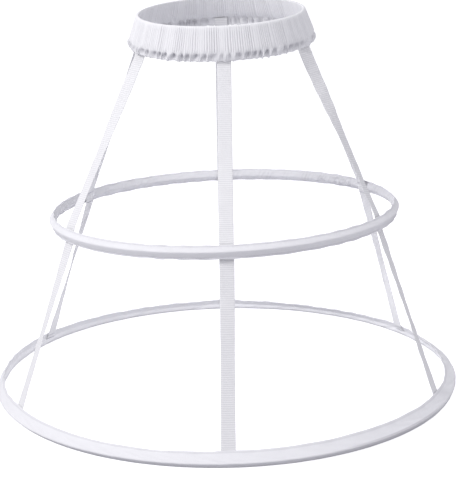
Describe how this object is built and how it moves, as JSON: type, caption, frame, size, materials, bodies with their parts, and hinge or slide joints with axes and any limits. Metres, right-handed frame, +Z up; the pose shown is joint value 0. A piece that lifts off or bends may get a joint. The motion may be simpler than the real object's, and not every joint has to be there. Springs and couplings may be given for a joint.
{
  "type": "crinoline cage",
  "caption": "Hoop petticoat cage worn at the waist: gathered elastic waistband, ribbed tapes and boned hoops in sewn casings, to hold a full skirt out.",
  "frame": {"origin": "centre of the waistband's top edge, where the wearer's waist is", "axes": "+Z up along the wearer, -Y to the wearer's front, +X to the wearer's left"},
  "size_m": [0.7148, 0.7148, 0.5861],
  "materials": {
    "cotton": "gathered white cotton lawn",
    "elastic": "woven elastic",
    "tape": "ribbed grosgrain tape",
    "casing": "smooth white satin-faced cloth",
    "bone": "plastic-covered springy bone",
    "ferrule": "crimped sleeve"
  },
  "bodies": {
    "root": {"waist_sleeve": "cotton", "waist_elastic": "elastic", "tape_front": "tape", "tape_left_front": "tape", "tape_left_back": "tape", "tape_back": "tape", "tape_right_back": "tape", "tape_right_front": "tape", "upper_casing": "casing", "upper_bone": "bone", "upper_ferrule": "ferrule", "lower_casing": "casing", "lower_bone": "bone", "lower_ferrule": "ferrule"}
  },
  "joints": []
}
